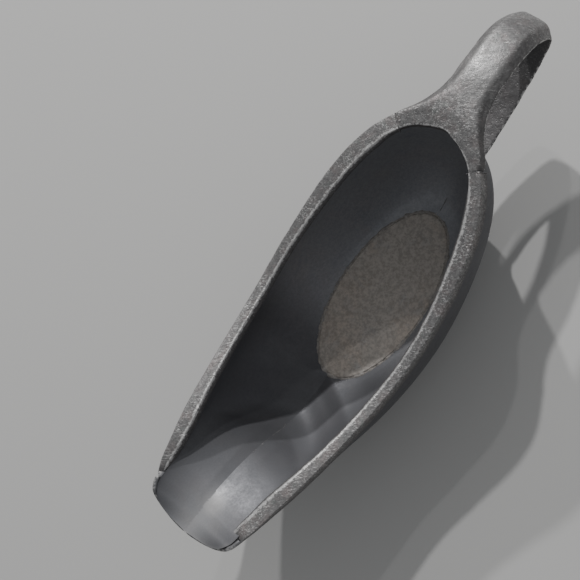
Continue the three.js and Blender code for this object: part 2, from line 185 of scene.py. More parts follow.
def rimAt(distance):
    distance = np.asarray(distance, float)
    inner = opening(distance)
    tangent = unit(opening(distance + 0.4) - opening(distance - 0.4))
    out = np.stack([-tangent[..., 1], tangent[..., 0]], -1)
    u = along(inner[..., 0])
    width = mixed(rim["width"], rim["endWidth"], bandShare(u))
    depth = mixed(rim["tipThickness"], rim["thickness"], bandTaper(u))
    middle = inner + out * (width / 2 + boat["wall"] / 2)[..., None]
    outer = inner + out * width[..., None]
    return {"inner": inner, "outer": outer, "out": out, "tangent": tangent, "width": width,
            "depth": depth, "wallTop": middle, "u": u, "top": sheerLine(u)}


rimSteps = np.linspace(0, openingLength / 2, 1200)
rimTable = rimAt(rimSteps)


def distanceAt(x, key):
    line = np.maximum.accumulate(rimTable[key][:, 0])
    return np.interp(x, line, rimSteps)


# making meshes

# a mesh from rows of points in millimetres, joined into a skin
def meshOf(name, verts, faces, material, smooth=True):
    mesh = bpy.data.meshes.new(name)
    mesh.from_pydata([tuple(v) for v in np.asarray(verts) * mm], [], faces)
    mesh.validate()
    work = bmesh.new()
    work.from_mesh(mesh)
    bmesh.ops.remove_doubles(work, verts=work.verts, dist=0.5e-6)
    bmesh.ops.dissolve_degenerate(work, edges=work.edges, dist=1e-7)
    bmesh.ops.recalc_face_normals(work, faces=work.faces)
    if work.calc_volume(signed=True) < 0:
        bmesh.ops.reverse_faces(work, faces=work.faces)
    work.to_mesh(mesh)
    work.free()
    mesh.polygons.foreach_set("use_smooth", [smooth] * len(mesh.polygons))
    piece = bpy.data.objects.new(name, mesh)
    scene.collection.objects.link(piece)
    mesh.materials.append(material)
    return piece


# faces between neighbouring rings of one size, closed round each ring and capped
def ringFaces(rings, size, capped=True):
    faces = []
    for r in range(rings - 1):
        for i in range(size):
            a, b = r * size + i, r * size + (i + 1) % size
            faces.append((a, b, b + size, a + size))
    if capped:
        end = (rings - 1) * size
        for i in range(size // 2 - 1):
            o = size - 1 - i
            faces.append((i, i + 1, o - 1, o))
            faces.append((end + i, end + i + 1, end + o - 1, end + o))
    return faces


def lofted(name, rings, material, capped=True):
    rings = np.asarray(rings)
    return meshOf(name, rings.reshape(-1, 3), ringFaces(len(rings), rings.shape[1], capped), material)


# a number on each vertex, for the materials to read
def setMask(piece, label, values):
    layer = piece.data.attributes.new(label, "FLOAT", "POINT")
    layer.data.foreach_set("value", np.clip(np.asarray(values, float), 0, 1))


def coords(piece):
    co = np.empty(len(piece.data.vertices) * 3)
    piece.data.vertices.foreach_get("co", co)
    return co.reshape(-1, 3)


def normals(piece):
    n = np.empty(len(piece.data.vertices) * 3)
    piece.data.vertices.foreach_get("normal", n)
    return n.reshape(-1, 3)


# how sharply the surface bends outwards at each vertex, 0 to 1
def bendMask(piece, full, spread=2):
    co, n = coords(piece), normals(piece)
    ends = np.empty(len(piece.data.edges) * 2, int)
    piece.data.edges.foreach_get("vertices", ends)
    a, b = ends.reshape(-1, 2).T
    step = co[b] - co[a]
    size = np.maximum(np.linalg.norm(step, axis=1), 1e-9)
    bend = np.zeros(len(co))
    count = np.zeros(len(co))
    for i, sign in ((a, -1), (b, 1)):
        np.add.at(bend, i, sign * (step * n[i]).sum(1) / size ** 2)
        np.add.at(count, i, 1)
    bend /= np.maximum(count, 1)
    for _ in range(spread):
        total = bend.copy()
        np.add.at(total, a, bend[b])
        np.add.at(total, b, bend[a])
        bend = total / (count + 1)
    return np.clip(bend * mm / full, 0, 1)


# small uneven swells over a cast surface
def unevenness(piece, size, height, seed=0.0):
    co, n = coords(piece), normals(piece)
    shift = Vector((seed, seed, 0))
    swell = np.array([noise.fractal(Vector(c) / (size * mm) + shift, 0.8, 2.1, 3) for c in co])
    co += n * (swell * height * mm)[:, None]
    piece.data.vertices.foreach_set("co", co.ravel())
    piece.data.update()


# shader groups

def shaderGroup(name, inputs, outputs):
    tree = bpy.data.node_groups.new(name, "ShaderNodeTree")
    for label, kind, value in inputs:
        made = tree.interface.new_socket(label, in_out="INPUT", socket_type=kind)
        made.default_value = value
    for label, kind in outputs:
        tree.interface.new_socket(label, in_out="OUTPUT", socket_type=kind)
    return tree, tree.nodes.new("NodeGroupInput"), tree.nodes.new("NodeGroupOutput")


number, triple, colour = "NodeSocketFloat", "NodeSocketVector", "NodeSocketColor"


# adds a node; a setting is an input's value or link, or the node's own option
def put(tree, kind, **settings):
    made = tree.nodes.new(kind)
    for label, value in settings.items():
        place = label[1:] if label.startswith("_") else label
        if label.startswith("_"):
            place = int(place) if place.isdigit() else place.replace("_", " ")
            if isinstance(value, bpy.types.NodeSocket):
                tree.links.new(value, made.inputs[place])
            else:
                made.inputs[place].default_value = value
        else:
            setattr(made, place, value)
    return made


def maths(tree, what, a, b=0.0, c=0.0):
    return put(tree, "ShaderNodeMath", operation=what, _0=a, _1=b, _2=c).outputs[0]


def between(tree, value, low, high, toLow=0.0, toHigh=1.0):
    return put(tree, "ShaderNodeMapRange", interpolation_type="SMOOTHSTEP", _Value=value, _From_Min=low,
               _From_Max=high, _To_Min=toLow, _To_Max=toHigh).outputs["Result"]


def blended(tree, share, a, b, how="MIX"):
    made = put(tree, "ShaderNodeMix", data_type="RGBA", blend_type=how)
    for socket, value in zip((made.inputs[0], made.inputs[6], made.inputs[7]), (share, a, b)):
        if isinstance(value, bpy.types.NodeSocket):
            tree.links.new(value, socket)
        else:
            socket.default_value = value
    return made.outputs[2]


# pits and grains of cast metal: a mask and a height
def castGrainGroup():
    tree, source, target = shaderGroup(
        "castGrain", [("Place", triple, (0, 0, 0)), ("Scale", number, 900.0), ("Pits", number, 0.5)],
        [("Mask", number), ("Height", number)])
    place, scale = source.outputs["Place"], source.outputs["Scale"]
    fine = put(tree, "ShaderNodeTexNoise", _Vector=place, _Scale=scale, _Detail=5.0, _Roughness=0.65)
    coarse = put(tree, "ShaderNodeTexNoise", _Vector=place, _Scale=maths(tree, "MULTIPLY", scale, 0.45),
                 _Detail=4.0, _Roughness=0.6)
    cells = put(tree, "ShaderNodeTexVoronoi", _Vector=place, _Scale=maths(tree, "MULTIPLY", scale, 0.8))
    pits = between(tree, cells.outputs["Distance"], 0.05, 0.32)
    fineShare = maths(tree, "MULTIPLY", fine.outputs[0], 0.55)
    both = maths(tree, "MULTIPLY_ADD", coarse.outputs[0], 0.45, fineShare)
    tree.links.new(between(tree, both, 0.4, 0.6), target.inputs["Mask"])
    dug = maths(tree, "MULTIPLY", maths(tree, "SUBTRACT", pits, 1.0), source.outputs["Pits"])
    tree.links.new(maths(tree, "ADD", both, dug), target.inputs["Height"])
    return tree


# fine straight scratches running one way
def scratchGroup():
    tree, source, target = shaderGroup(
        "scratches", [("Place", triple, (0, 0, 0)), ("Turn", triple, (0, 0, 0)),
                      ("Across", number, 2200.0), ("Long", number, 60.0), ("Cover", number, 0.5)],
        [("Mask", number)])
    turned = put(tree, "ShaderNodeMapping", _Vector=source.outputs["Place"], _Rotation=source.outputs["Turn"])
    size = put(tree, "ShaderNodeCombineXYZ", _X=source.outputs["Long"], _Y=source.outputs["Across"],
               _Z=source.outputs["Across"])
    drawn = put(tree, "ShaderNodeVectorMath", operation="MULTIPLY", _0=turned.outputs[0], _1=size.outputs[0])
    lines = put(tree, "ShaderNodeTexNoise", _Vector=drawn.outputs[0], _Scale=1.0, _Detail=3.0, _Roughness=0.7)
    patch = put(tree, "ShaderNodeTexNoise", _Vector=source.outputs["Place"], _Scale=170.0, _Detail=3.0)
    line = between(tree, lines.outputs[0], 0.54, 0.66)
    where = between(tree, patch.outputs[0], 0.62, 0.38, 0.0, 1.0)
    keep = maths(tree, "MULTIPLY_ADD", where, 0.7, 0.3)
    kept = maths(tree, "MULTIPLY", maths(tree, "MULTIPLY", line, keep), source.outputs["Cover"])
    tree.links.new(kept, target.inputs["Mask"])
    return tree


# bright metal where a vertex mask says that an edge is: worn edges, and painted highlight along inner arrises
def edgeWearGroup():
    tree, source, target = shaderGroup(
        "edgeWearAndGlint", [("Place", triple, (0, 0, 0)), ("Edge", number, 0.0), ("Scale", number, 500.0),
                     ("Gaps", number, 0.4)],
        [("Mask", number)])
    broken = put(tree, "ShaderNodeTexNoise", _Vector=source.outputs["Place"], _Scale=source.outputs["Scale"],
                 _Detail=4.0, _Roughness=0.6)
    gaps = maths(tree, "MULTIPLY", between(tree, broken.outputs[0], 0.56, 0.42), source.outputs["Gaps"])
    tree.links.new(maths(tree, "SUBTRACT", source.outputs["Edge"], gaps), target.inputs["Mask"])
    return tree


# slow drifts of tone and of warm and cool tarnish
def tarnishGroup():
    tree, source, target = shaderGroup(
        "tarnish", [("Place", triple, (0, 0, 0)), ("Base", colour, (0.2, 0.2, 0.2, 1)),
                    ("Warm", colour, (0.25, 0.2, 0.2, 1)), ("Cool", colour, (0.18, 0.2, 0.2, 1)),
                    ("Scale", number, 70.0), ("Amount", number, 0.6)],
        [("Color", colour), ("Drift", number)])
    place, scale = source.outputs["Place"], source.outputs["Scale"]
    slow = put(tree, "ShaderNodeTexNoise", _Vector=place, _Scale=scale, _Detail=4.0, _Roughness=0.6)
    other = put(tree, "ShaderNodeTexNoise", _Vector=place, _Scale=maths(tree, "MULTIPLY", scale, 1.9),
                _Detail=5.0, _Roughness=0.65, _Distortion=0.4)
    amount = source.outputs["Amount"]
    warmth = maths(tree, "MULTIPLY", between(tree, slow.outputs[0], 0.45, 0.68), amount)
    coolness = maths(tree, "MULTIPLY", between(tree, other.outputs[0], 0.5, 0.72), amount)
    warmed = blended(tree, warmth, source.outputs["Base"], source.outputs["Warm"])
    tree.links.new(blended(tree, coolness, warmed, source.outputs["Cool"]), target.inputs["Color"])
    tree.links.new(between(tree, other.outputs[0], 0.3, 0.7), target.inputs["Drift"])
    return tree


castGrain, scratches, edgeWearAndGlint, tarnish = castGrainGroup(), scratchGroup(), edgeWearGroup(), tarnishGroup()


def placed(tree, group, **values):
    made = put(tree, "ShaderNodeGroup", node_tree=group)
    for label, value in values.items():
        if isinstance(value, bpy.types.NodeSocket):
            tree.links.new(value, made.inputs[label])
        else:
            made.inputs[label].default_value = value
    return made


# the second set of scratches, against the first
crossed = {"turn": 1.1, "cover": 0.6, "across": 0.7, "long": 1.7}


# one pewter finish; its look is the dictionary
def pewter(name, look):
    material = bpy.data.materials.new(name)
    material.use_nodes = True
    tree = material.node_tree
    shader = tree.nodes["Principled BSDF"]
    place = put(tree, "ShaderNodeTexCoord").outputs["Object"]
    toned = placed(tree, tarnish, Place=place, Base=look["base"], Warm=look["warm"], Cool=look["cool"],
                   Scale=look["drift"], Amount=look["driftAmount"])
    grain = placed(tree, castGrain, Place=place, Scale=look["grain"], Pits=look["pits"])
    hair = placed(tree, scratches, Place=place, Turn=look["turn"], Cover=look["scratch"],
                  Across=look["across"], Long=look["long"])
    cross = placed(tree, scratches, Place=place, Turn=[a + crossed["turn"] for a in look["turn"]],
                   Cover=look["scratch"] * crossed["cover"], Across=look["across"] * crossed["across"],
                   Long=look["long"] * crossed["long"])
    # masks on the vertices: worn edges, with the painted highlight along inner arrises; worn places, with
    # painted sheen and a painted highlight; painted shade
    edge, rubAndSheen, shade = [put(tree, "ShaderNodeAttribute", attribute_name=mask).outputs["Fac"]
                        for mask in ("edge", "rubAndSheen", "shade")]
    worn = placed(tree, edgeWearAndGlint, Place=place, Edge=edge, Scale=look["gapScale"], Gaps=look["gaps"])
    wornAndGlint = between(tree, worn.outputs[0], 0.15, 0.75)
    lines = maths(tree, "MAXIMUM", hair.outputs[0], cross.outputs[0])
    lines = maths(tree, "MULTIPLY", lines, maths(tree, "MULTIPLY_ADD", rubAndSheen, look["rubScratch"], 1.0))
    speckled = blended(tree, maths(tree, "MULTIPLY", grain.outputs["Mask"], look["grainShade"]),
                       toned.outputs["Color"], look["dark"])
    scored = blended(tree, lines, speckled, look["bright"])
    # worn places lightened, which also paints sheen and highlights
    rubbedAndSheen = blended(tree, maths(tree, "MULTIPLY", rubAndSheen, look["rubAndSheen"]), scored, look["rubbedAndSheen"])
    # painted shade, darkening wherever the shade mask is set
    shadeMixed = blended(tree, maths(tree, "MULTIPLY", shade, look["shade"]), rubbedAndSheen, look["dark"])
    final = blended(tree, wornAndGlint, shadeMixed, look["bright"])
    tree.links.new(final, shader.inputs["Base Color"])
    rough = maths(tree, "MULTIPLY_ADD", toned.outputs["Drift"], look["roughDrift"], look["rough"])
    rough = maths(tree, "MULTIPLY_ADD", grain.outputs["Mask"], look["roughGrain"], rough)
    rough = maths(tree, "MULTIPLY_ADD", wornAndGlint, -0.12, rough)
    rough = maths(tree, "MULTIPLY_ADD", rubAndSheen, -look["rubShine"], rough)
    tree.links.new(rough, shader.inputs["Roughness"])
    height = maths(tree, "MULTIPLY_ADD", lines, look["scratchBump"], grain.outputs["Height"])
    bump = put(tree, "ShaderNodeBump", _Strength=look["bump"], _Distance=look["bumpHeight"] * mm,
               _Height=height)
    tree.links.new(bump.outputs[0], shader.inputs["Normal"])
    shader.inputs["Metallic"].default_value = look["metal"]
    return material


plainLook = {
    "base": (0.31, 0.316, 0.335, 1), "warm": (0.33, 0.318, 0.325, 1), "cool": (0.27, 0.284, 0.31, 1),
    "dark": (0.095, 0.095, 0.102, 1), "bright": (0.55, 0.54, 0.53, 1), "rubbedAndSheen": (0.66, 0.645, 0.635, 1),
    "drift": 45.0, "driftAmount": 0.6, "grain": 1500.0, "pits": 0.2, "grainShade": 0.18,
    "turn": (0.3, 0.2, 0.4), "across": 2600.0, "long": 70.0, "scratch": 0.12, "scratchBump": 0.2,
    "gapScale": 600.0, "gaps": 0.4, "rubAndSheen": 0.7, "rubShine": 0.12, "rubScratch": 5.0, "shade": 0.9,
    "rough": 0.5, "roughDrift": 0.08, "roughGrain": 0.06, "bump": 0.25, "bumpHeight": 0.08, "metal": 0.6,
}
darkPewter = pewter("darkPewter", plainLook)
wornPewter = pewter("wornPewter", {
    **plainLook,
    "base": (0.235, 0.23, 0.228, 1), "warm": (0.27, 0.24, 0.235, 1), "cool": (0.2, 0.21, 0.203, 1),
    "dark": (0.11, 0.106, 0.108, 1), "bright": (0.62, 0.61, 0.6, 1), "rubbedAndSheen": (0.34, 0.335, 0.33, 1),
    "drift": 210.0, "driftAmount": 0.9, "grain": 1300.0, "pits": 0.6, "grainShade": 0.55,
    "turn": (0.2, 0.3, 0.9), "across": 2100.0, "long": 170.0, "scratch": 0.85, "scratchBump": 0.6,
    "gapScale": 900.0, "gaps": 0.55, "rubAndSheen": 0.8, "rubShine": 0.12, "rubScratch": 0.6, "shade": 0.75,
    "rough": 0.5, "roughDrift": 0.1, "roughGrain": 0.12, "bump": 0.7, "bumpHeight": 0.16, "metal": 0.75,
})
grainyPewter = pewter("grainyPewter", {
    **plainLook,
    "base": (0.54, 0.5, 0.455, 1), "warm": (0.6, 0.51, 0.43, 1), "cool": (0.47, 0.465, 0.455, 1),
    "dark": (0.27, 0.24, 0.215, 1), "drift": 60.0, "grain": 1150.0, "pits": 0.9, "grainShade": 0.5,
    "shade": 0.0,
    "scratch": 0.05, "rough": 0.62, "roughGrain": 0.12, "bump": 0.6, "bumpHeight": 0.16, "metal": 0.25,
})
floorSolderMetal = pewter("floorSolderMetal", {
    **plainLook,
    "base": (0.4, 0.375, 0.35, 1), "warm": (0.5, 0.45, 0.4, 1), "cool": (0.3, 0.3, 0.3, 1), "shade": 0.0,
    "dark": (0.2, 0.185, 0.17, 1), "drift": 300.0, "driftAmount": 0.9, "grain": 1300.0, "pits": 0.7,
    "grainShade": 0.55, "rough": 0.6, "bump": 0.6, "bumpHeight": 0.14, "metal": 0.25,
})
solderMetal = pewter("solderMetal", {
    **plainLook,
    "base": (0.17, 0.165, 0.165, 1), "warm": (0.22, 0.21, 0.205, 1), "cool": (0.14, 0.145, 0.155, 1),
    "bright": (0.62, 0.62, 0.61, 1), "drift": 260.0, "driftAmount": 0.9, "grain": 1700.0, "pits": 0.5,
    "grainShade": 0.4, "rough": 0.45, "bump": 0.5, "metal": 0.5,
})
print("materials ready")

# the body: two walls and the lip, one skin seen from both sides

walls = {
    "bulge": 10.5,
    "floorShare": 0.72,     # share of the stations that stand on the floor
    "stations": 190,
    "heights": 56,
    "lipFullness": 3.6,
    "lipTipThickness": 1.4,
    "lipEdgeDrop": 0.5,
    "lipStations": 56,
    "lipBulge": 1.05,
    "lipSpread": 0.42,
    "lipLift": 0.16,
    "creaseColumns": 8,     # width of the soft crease along the foot of each section
    "creaseDip": 0.25,
    "dressed": (10, 12),    # rows before and after the lip seam that are smoothed together
    "dressings": 30,
}
keelShare = smoothLine([
    (0, 0), (0.122, 0.018), (0.26, 0.083), (0.369, 0.254), (0.441, 0.425),
    (0.528, 0.586), (0.63, 0.712), (0.732, 0.8), (0.819, 0.847), (1, 0.9)])
bulgeShare = smoothLine([(0, 0.6), (0.2, 0.72), (0.42, 1), (0.62, 0.7), (0.8, 0.25), (1, 0.1)])
spreadShare = smoothLine([(0, 0.62), (0.72, 0.5), (1, 0.42)])
liftShare = smoothLine([(0, 0.02), (0.6, 0.03), (0.8, 0.1), (1, 0.16)])
footPace = smoothLine([(0, 0), (0.3, 0.28), (0.72, 0.74), (1, 1)])
wallEnd = distanceAt(lipStart, "wallTop")


def keel(x):
    return mixed(floorBottom, boat["lipHeight"], keelShare((x - floorTipX) / (tipX - floorTipX)))


# points up each section, from its base to the rim
def sections(base, top, bulge, spread, rise, heights):
    flat = top - base
    flat[:, 2] = 0
    span = np.linalg.norm(flat, axis=1)
    out = unit(flat)
    height = top[:, 2] - base[:, 2]
    low = base + out * (span * spread)[:, None]
    low[:, 2] += height * rise
    high = top + out * bulge[:, None]
    high[:, 2] = base[:, 2] + height * 0.52
    h = heights[None, :, None]
    return (base[:, None] * (1 - h) ** 3 + 3 * low[:, None] * h * (1 - h) ** 2
            + 3 * high[:, None] * h ** 2 * (1 - h) + top[:, None] * h ** 3)


def wallSkin(shares, heights):
    over = rimAt(wallEnd * footPace(shares))
    top = np.column_stack([over["wallTop"], over["top"] - over["depth"] + rim["tuck"]])
    top[shares == 0, 1] = 0
    turn = math.pi * (1 - np.minimum(shares / walls["floorShare"], 1))
    base = np.column_stack([
        floorMiddle + (floorHalf[0] + boat["joint"]) * np.cos(turn),
        (floorHalf[1] + boat["joint"]) * np.sin(turn), np.full(len(shares), floorBottom)])
    ahead = shares > walls["floorShare"]
    x = mixed(floorTipX, lipStart, (shares[ahead] - walls["floorShare"]) / (1 - walls["floorShare"]))
    base[ahead] = np.column_stack([x, np.zeros(len(x)), keel(x)])
    bulge = walls["bulge"] * bulgeShare(shares)
    return sections(base, top, bulge, spreadShare(shares), liftShare(shares), heights)


def lipSkin(xs, heights):
    share = (xs - lipStart) / (tipX - lipStart)
    full = rimAt(wallEnd)["wallTop"][1]
    half = full * np.sqrt(np.maximum(1 - np.minimum(share, 1) ** walls["lipFullness"], 0))
    over = rimAt(distanceAt(xs, "wallTop"))
    edge = over["top"] - mixed(over["depth"] - rim["tuck"], 0.2, eased(over["u"], 0.9, 0.955))
    tip = keel(xs) + walls["lipEdgeDrop"]
    edgeHeight = mixed(edge, np.minimum(tip, edge), eased(share, 0.62, 1))
    base = np.column_stack([xs, np.zeros(len(xs)), keel(xs)])
    top = np.column_stack([xs, np.maximum(half, 0.05), edgeHeight])
    n = np.ones(len(xs))
    bulge, spread, rise = [walls[key] * n for key in ("lipBulge", "lipSpread", "lipLift")]
    return sections(base, top, bulge, spread, rise, heights)


def bodyGrids():
    heights = np.linspace(0, 1, walls["heights"] + 1)
    shares = np.linspace(0, 1, walls["stations"] + 1)
    lipPace = np.sin(np.linspace(0, math.pi / 2, walls["lipStations"] + 1))[1:]
    lipXs = lipStart + (tipX - lipStart) * lipPace * 0.9995
    outer = np.concatenate([wallSkin(shares, heights), lipSkin(lipXs, heights)])
    before, after = walls["dressed"]
    near = slice(len(shares) - before, len(shares) + after)
    for _ in range(walls["dressings"]):
        outer[near] += (np.roll(outer, 1, 0) + np.roll(outer, -1, 0) - 2 * outer)[near] * 0.25
    outward = unit(np.cross(np.gradient(outer, axis=0), np.gradient(outer, axis=1)))
    outward[:, 0] = unit(outward[:, 1] * [1, 0, 1])
    outward[0, :, 1] = 0
    outward = unit(outward)
    if outward[40, 30, 1] < 0:
        outward = -outward
    thick = np.full(len(outer), boat["wall"])
    thick[len(shares):] = mixed(boat["wall"], walls["lipTipThickness"], lipPace)
    reachIn = -outward
    low = eased(heights, 0.0, 0.06)[None, :, None]
    reachIn = unit(mixed(unit(reachIn[:, :1] * [0, 0, 1] + [0, 0, 0.05]), reachIn, np.maximum(low, 0.35)))
    inner = outer + reachIn * thick[:, None, None]
    inner[..., 1] = np.maximum(inner[..., 1], 0)
    inner[shares.searchsorted(walls["floorShare"]):, 0, 1] = 0
    inner[:len(shares), -1, 2] = outer[:len(shares), -1, 2]
    creased = walls["creaseColumns"]
    for k in range(1, creased):
        t = k / creased
        rest = inner[:, 0] + (inner[:, creased] - inner[:, 0]) * t
        rest[:, 2] -= walls["creaseDip"] * (inner[:, creased, 2] - inner[:, 0, 2]) * t * (1 - t)
        inner[:, k] = rest
    return outer, inner, len(shares)


# a closed skin between an outer and an inner grid
def shellOf(name, outer, inner, material):
    return lofted(name, np.concatenate([outer, inner[:, ::-1]], axis=1), material)


outerGrid, innerGrid, wallRows = bodyGrids()
flip = np.array([1, -1, 1])
wallLeft = shellOf("wallLeft", outerGrid[:wallRows], innerGrid[:wallRows], darkPewter)
wallRight = shellOf("wallRight", outerGrid[:wallRows] * flip, innerGrid[:wallRows] * flip, darkPewter)

lipRows = slice(wallRows - 1, None)
lipOuter = np.concatenate([outerGrid[lipRows][:, :0:-1] * flip, outerGrid[lipRows]], axis=1)
lipInner = np.concatenate([innerGrid[lipRows][:, :0:-1] * flip, innerGrid[lipRows]], axis=1)
lip = shellOf("pouringLip", lipOuter, lipInner, darkPewter)


# the skin's own directions, so that light runs on over the lip seam and the stern; side 0 is both sides
def shareNormals(piece, side):
    own = normals(piece)
    for grid in (outerGrid, innerGrid):
        n = np.cross(np.gradient(grid, axis=0), np.gradient(grid, axis=1))
        n[0, :, 1] = 0
        if side:
            places = (grid * [1, side, 1]).reshape(-1, 3)
            around = (n * [1, side, 1]).reshape(-1, 3)
        else:
            places = np.concatenate([grid, grid * flip]).reshape(-1, 3)
            around = np.concatenate([n, n * flip]).reshape(-1, 3)
        found = KDTree(len(places))
        for i, place in enumerate(places):
            found.insert(place * mm, i)
        found.balance()
        for i, co in enumerate(coords(piece)):
            _, at, far = found.find(co)
            column = at % grid.shape[1]
            if far < 2e-6 and column < grid.shape[1] - 2 and np.linalg.norm(around[at]) > 1e-9:
                new = unit(around[at])
                own[i] = new if new @ own[i] > 0 else -new
    piece.data.normals_split_custom_set_from_vertices([tuple(v) for v in own])


shareNormals(wallLeft, 1)
shareNormals(wallRight, -1)
shareNormals(lip, 0)

# worn metal on the lip and its edge, with painted sheen, a painted highlight, and painted shade inside the
# bowl
wearAndLight = {
    "wipedFrom": 26.0,      # back from the tip
    "wipedTo": 7.0,
    "wipedWide": 11.0,
    "wipedAndLit": 0.42,
    "highlightSpot": (2.5, 2.5),   # the painted highlight's spot, from the lip's seam and the middle
    "highlightSpotSize": (5.5, 4.2),
    # painted shade on the inner faces: where it grows, and how strong
    "innerShadeFrom": (8.0, 34.0),
    "innerShade": 0.95,
    "lipEdge": (1.6, 2.6),  # width of the worn edge, and how much wider it is on the left
}


# where pouring and wiping have rubbed the metal bright, on the lip and just inside it; the same band is
# painted lighter as sheen where the lip is lit
def wipedAndLit(co):
    return (eased(co[:, 0], tipX - wearAndLight["wipedFrom"], tipX - wearAndLight["wipedTo"])
            * np.exp(-((co[:, 1] - 1) / wearAndLight["wipedWide"]) ** 2))


# the painted highlight on the lip at its brightest spot, joined to that band of worn metal and painted sheen
def rubbedAndHighlit(co):
    (x, y), (long, wide) = wearAndLight["highlightSpot"], wearAndLight["highlightSpotSize"]
    highlightSpot = np.exp(-((co[:, 0] - (lipStart + x)) / long) ** 2 - ((co[:, 1] - y) / wide) ** 2)
    return np.maximum(wearAndLight["wipedAndLit"] * wipedAndLit(co), highlightSpot)


# painted shade: all of every outer face, and the inner faces growing towards the lip, eased where the lip is
# lit; then worn metal with painted sheen and the painted highlight
for skin in (wallLeft, wallRight, lip):
    co, n = coords(skin) / mm, normals(skin)
    innerShade = wearAndLight["innerShade"] * eased(co[:, 0], *wearAndLight["innerShadeFrom"]) * (1 - 0.7 * wipedAndLit(co))
    outside = n[:, 1] * np.sign(co[:, 1] + 1e-4) - n[:, 2] > 0
    setMask(skin, "shade", np.where(outside, 1.0, innerShade))
    if skin is not lip:
        setMask(skin, "rubAndSheen", rubbedAndHighlit(co))

# worn along the lip's edge, widest on the left
lipCo = coords(lip) / mm
fromSeam = (lipCo[:, 0] - lipStart) / (tipX - lipStart)
fullness = np.clip(1 - np.clip(fromSeam, 0, 1) ** walls["lipFullness"], 0, 1)
halfAt = rimAt(wallEnd)["wallTop"][1] * np.sqrt(fullness)
edgeGap = np.minimum(halfAt - np.abs(lipCo[:, 1]), (tipX - lipCo[:, 0]) * 1.2)
wearWidth = wearAndLight["lipEdge"][0] + wearAndLight["lipEdge"][1] * eased(lipCo[:, 1], 0, 12)
edgeWorn = (1 - eased(edgeGap, 0.4, wearWidth)) * eased(fromSeam, 0.15, 0.5)
setMask(lip, "rubAndSheen", np.maximum(edgeWorn, rubbedAndHighlit(lipCo)))
setMask(lip, "edge", (1 - eased(edgeGap, 0.0, 0.8)) * 0.7)
print("body ready")

# rim bands

bands = {
    "leftShort": 7.5,
    "rightShort": 9.0,
    "leftTip": 0.9,         # share of its width at its end
    "rightTip": 0.25,
    "easing": 0.35,         # rounding of the arrises
    "steps": 420,
    "wobble": 0.09,         # hand-filed unevenness of the arrises
    "tilt": 1.1,            # how far the inner side sinks towards the end
    "sink": 1.7,            # how far the end sinks into the lip
}


# a section's corners, with each one rounded by a few points
def roundedSection(corners, radii, perCorner=4):
    done = []
    count = len(corners)
    for i in range(count):
        before, here, after = corners[i - 1], corners[i], corners[(i + 1) % count]
        a, b = before - here, after - here
        la, lb = np.linalg.norm(a, axis=-1, keepdims=True), np.linalg.norm(b, axis=-1, keepdims=True)
        r = np.minimum(radii[i], 0.45 * np.minimum(la, lb))
        p, q = here + a / np.maximum(la, 1e-9) * r, here + b / np.maximum(lb, 1e-9) * r
        for t in np.linspace(0, 1, perCorner):
            done.append(p * (1 - t) ** 2 + 2 * here * t * (1 - t) + q * t ** 2)
    return np.stack(done, axis=-2)


def rimBand(name, side, short, tipShare):
    start = rim["joint"] + boat["joint"] / 2
    end = distanceAt(tipX - short, "outer")
    t = np.linspace(0, 1, bands["steps"] + 1)
    narrowing = smoothLine([(0, 1), (0.8, 1), (0.93, (1 + tipShare) / 2), (1, tipShare)])(t)
    over = rimAt(start + (end - start) * t)
    width, depth, u = over["width"] * narrowing, over["depth"], over["u"]
    wob = np.array([[noise.noise(Vector((d * 0.21, k * 7.0, side * 3.0))) for k in range(3)]
                    for d in start + (end - start) * t]) * bands["wobble"]
    cut = (rim["leftCut"] * cutShare(u) if side > 0 else 0 * u) + wob[:, 0]
    flare = rim["flare"] * flareShare(u)
    roll = rim["roll"] * depth / rim["thickness"] * eased(t, -0.02, 0.07)
    width = width + wob[:, 1]
    # each end melts into the lip: first its inner side sinks, then the whole of it
    sunk = bands["sink"] * eased(t, 0.955, 1)
    tilt = bands["tilt"] * eased(t, 0.82, 0.98)

    def at(across, down):
        flat = over["outer"] - over["out"] * across[:, None]
        leaning = tilt * np.clip(across / width, 0, 1.2)
        return np.column_stack([flat[:, 0], flat[:, 1] * side, over["top"] - down - sunk - leaning])

    ease = np.minimum(bands["easing"], np.minimum(depth / 3, width / 3))
    crown = 0.12 * (wob[:, 2] / bands["wobble"])
    level = 0 * u
    corners = [
        at(cut / 2 - flare, depth), at(cut, level),
        at((cut + width) / 2, 0.12 * crown - 0.08), at(width, level),
        at(width + roll * 0.85, depth * 0.4), at(width + roll, depth * 0.7),
        at(width + roll * 0.4, depth), at(width * 0.5, depth),
    ]
    one = np.ones((len(t), 1))
    e = ease[:, None]
    radii = [0.3 * one, e, 1.5 * one, 0.75 * e, 0.5 * one, 0.5 * one, 0.5 * one, 0.4 * one]
    rings = roundedSection(corners, radii)
    piece = lofted(name, rings, wornPewter)
    # masks follow the section: arrises are worn bright, and the inner arris carries a painted highlight; the
    # outer side face and the roll under the top get painted shade
    size = rings.shape[1]
    cornerOf = np.repeat(np.arange(len(corners)), size // len(corners))
    edgeRow = np.select([cornerOf == 3, cornerOf == 1, cornerOf == 0], [1.0, 0.3, 0.2], 0.0)
    shadeRow = np.select([cornerOf == 0, cornerOf >= 4], [1.0, 0.8], 0.0)
    lookUp = {}
    for r in range(len(rings)):
        for i in range(size):
            lookUp[tuple(np.round(rings[r, i] * mm, 6))] = (edgeRow[i], shadeRow[i])
    found = [lookUp.get(tuple(np.round(c, 6)), (0, 0)) for c in coords(piece)]
    setMask(piece, "edge", [f[0] for f in found])
    setMask(piece, "shade", [f[1] for f in found])
    unevenness(piece, 3.5, 0.045, seed=side * 2.0)
    return piece


bandLeft = rimBand("rimBandLeft", 1, bands["leftShort"], bands["leftTip"])
bandRight = rimBand("rimBandRight", -1, bands["rightShort"], bands["rightTip"])
print("rim bands ready")

# handle: a strap round the loop, widening into a yoke at the back of the rim

